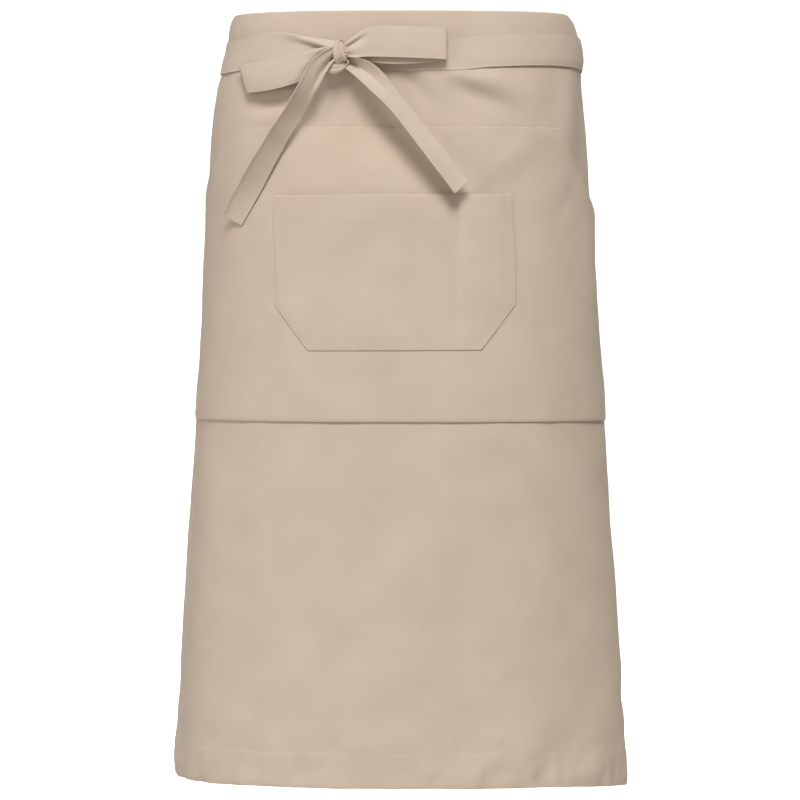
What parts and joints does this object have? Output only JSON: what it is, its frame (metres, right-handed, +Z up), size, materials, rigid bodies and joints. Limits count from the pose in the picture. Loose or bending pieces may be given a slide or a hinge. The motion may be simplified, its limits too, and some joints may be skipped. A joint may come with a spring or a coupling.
{
  "type": "long waist apron",
  "caption": "Long waist apron shown worn: skirt cloth with a waistband, a pouch with slanted hand openings, a patch pocket and strings tied in a bow in front.",
  "frame": {"origin": "centre of the waist that the apron is tied round, at the strings' mid height in front", "axes": "+Z up, against the skirt's fall; -Y out of the apron's front; +X to the right of a viewer in front"},
  "size_m": [0.48, 0.2717, 0.8051],
  "materials": {
    "body_cloth": "matt polyester and cotton twill in beige, with double stitched hems",
    "string_cloth": "the same beige twill, folded and pressed into a flat string"
  },
  "bodies": {
    "root": {"skirt_panel": "body_cloth", "waistband": "body_cloth", "pouch_panel": "body_cloth", "patch_pocket": "body_cloth", "string_from_left": "string_cloth", "string_from_right": "string_cloth", "bow_knot": "string_cloth", "left_loop": "string_cloth", "right_loop": "string_cloth", "left_tail": "string_cloth", "right_tail": "string_cloth"}
  },
  "joints": []
}
